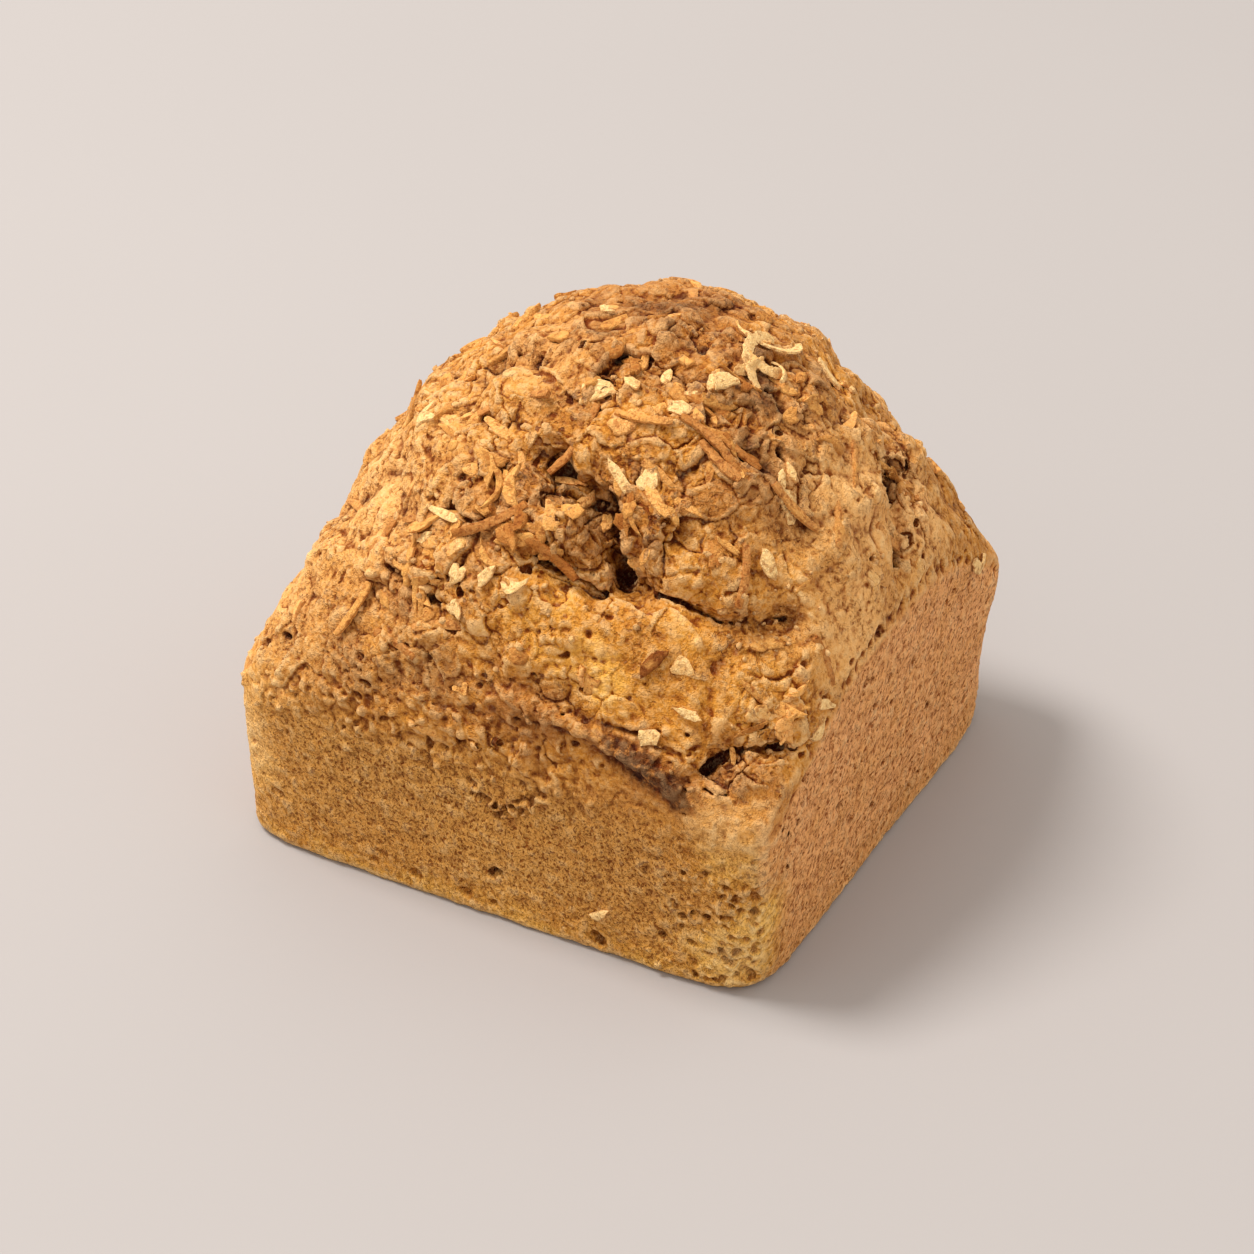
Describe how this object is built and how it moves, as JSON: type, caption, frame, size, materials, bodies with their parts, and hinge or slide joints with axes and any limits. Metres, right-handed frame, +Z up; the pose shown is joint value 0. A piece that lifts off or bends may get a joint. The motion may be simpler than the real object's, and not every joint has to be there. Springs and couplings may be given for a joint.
{
  "type": "coconut cake",
  "caption": "Small square coconut cake baked in a tin, with plain browned walls and a tall craggy dome strewn with toasted coconut flakes.",
  "frame": {"origin": "middle of the flat underside, on the table surface", "axes": "+Z up; -Y is the front wall that shows at the left of the picture, +X is the right wall"},
  "size_m": [0.1083, 0.1032, 0.0961],
  "materials": {
    "crust": "matte golden-brown baked crust, porous and crumbly",
    "coconut": "matte toasted coconut flakes, from cream to brown"
  },
  "bodies": {
    "root": {"cake": "crust"}
  },
  "joints": []
}
